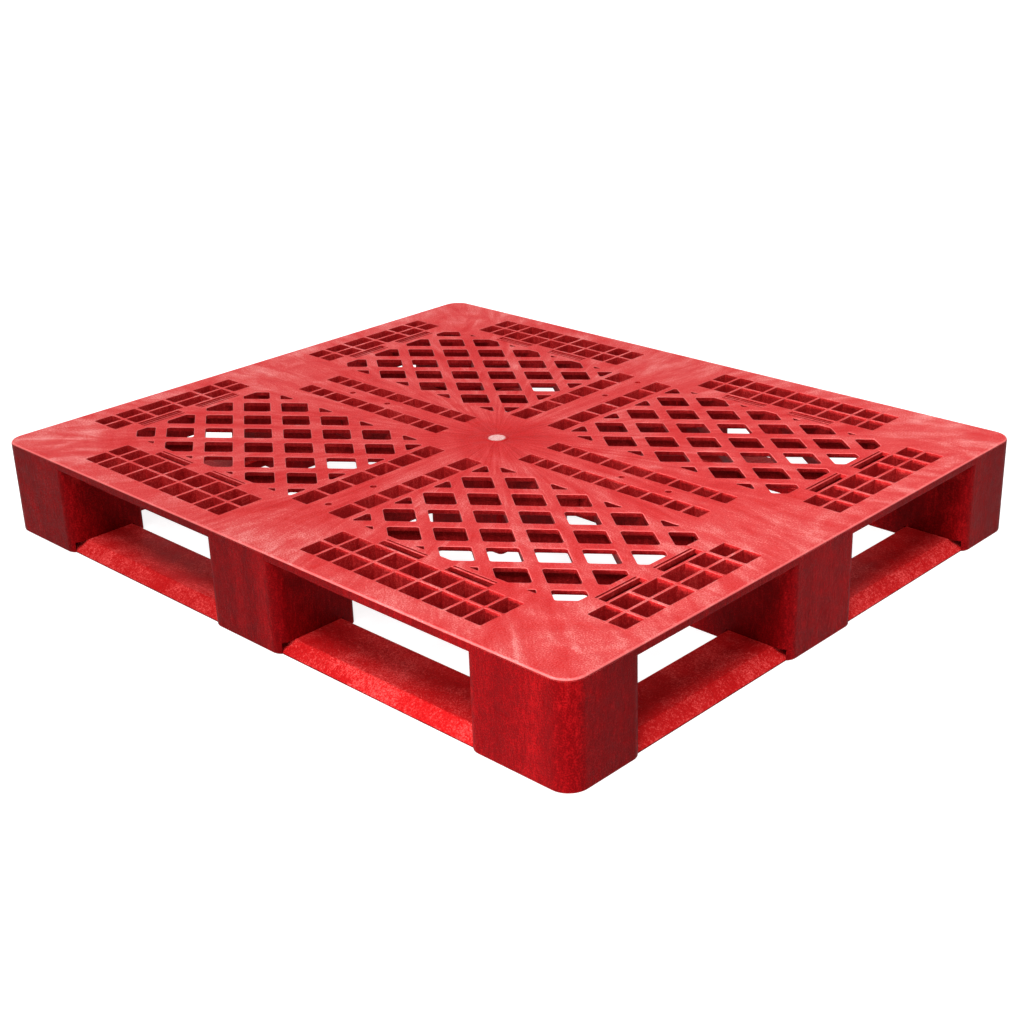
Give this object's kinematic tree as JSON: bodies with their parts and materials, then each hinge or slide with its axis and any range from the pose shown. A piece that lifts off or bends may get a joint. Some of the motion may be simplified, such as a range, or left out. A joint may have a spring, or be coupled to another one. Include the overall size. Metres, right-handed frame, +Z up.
{
  "type": "plastic pallet",
  "caption": "Red moulded plastic pallet with an open lattice deck on block legs and a perimeter base, for four-way fork entry.",
  "frame": {"origin": "on the floor under the centre of the deck", "axes": "+X along the long side, +Y along the short side, +Z up"},
  "size_m": [1.2, 1, 0.15],
  "materials": {
    "structural_foam": "satin moulded, with flow marks",
    "screw_steel": "zinc plated"
  },
  "bodies": {
    "root": {"deck": "structural_foam", "leg_front_left": "structural_foam", "leg_front_middle": "structural_foam", "leg_front_right": "structural_foam", "leg_middle_left": "structural_foam", "leg_centre": "structural_foam", "leg_middle_right": "structural_foam", "leg_back_left": "structural_foam", "leg_back_middle": "structural_foam", "leg_back_right": "structural_foam", "runner_front": "structural_foam", "runner_back": "structural_foam", "runner_left": "structural_foam", "runner_right": "structural_foam", "screw_front_1": "screw_steel", "screw_front_2": "screw_steel", "screw_front_3": "screw_steel", "screw_front_4": "screw_steel", "screw_front_5": "screw_steel", "screw_front_6": "screw_steel", "screw_back_1": "screw_steel", "screw_back_2": "screw_steel", "screw_back_3": "screw_steel", "screw_back_4": "screw_steel", "screw_back_5": "screw_steel", "screw_back_6": "screw_steel", "screw_left_1": "screw_steel", "screw_left_2": "screw_steel", "screw_left_3": "screw_steel", "screw_left_4": "screw_steel", "screw_left_5": "screw_steel", "screw_left_6": "screw_steel", "screw_right_1": "screw_steel", "screw_right_2": "screw_steel", "screw_right_3": "screw_steel", "screw_right_4": "screw_steel", "screw_right_5": "screw_steel", "screw_right_6": "screw_steel"}
  },
  "joints": []
}
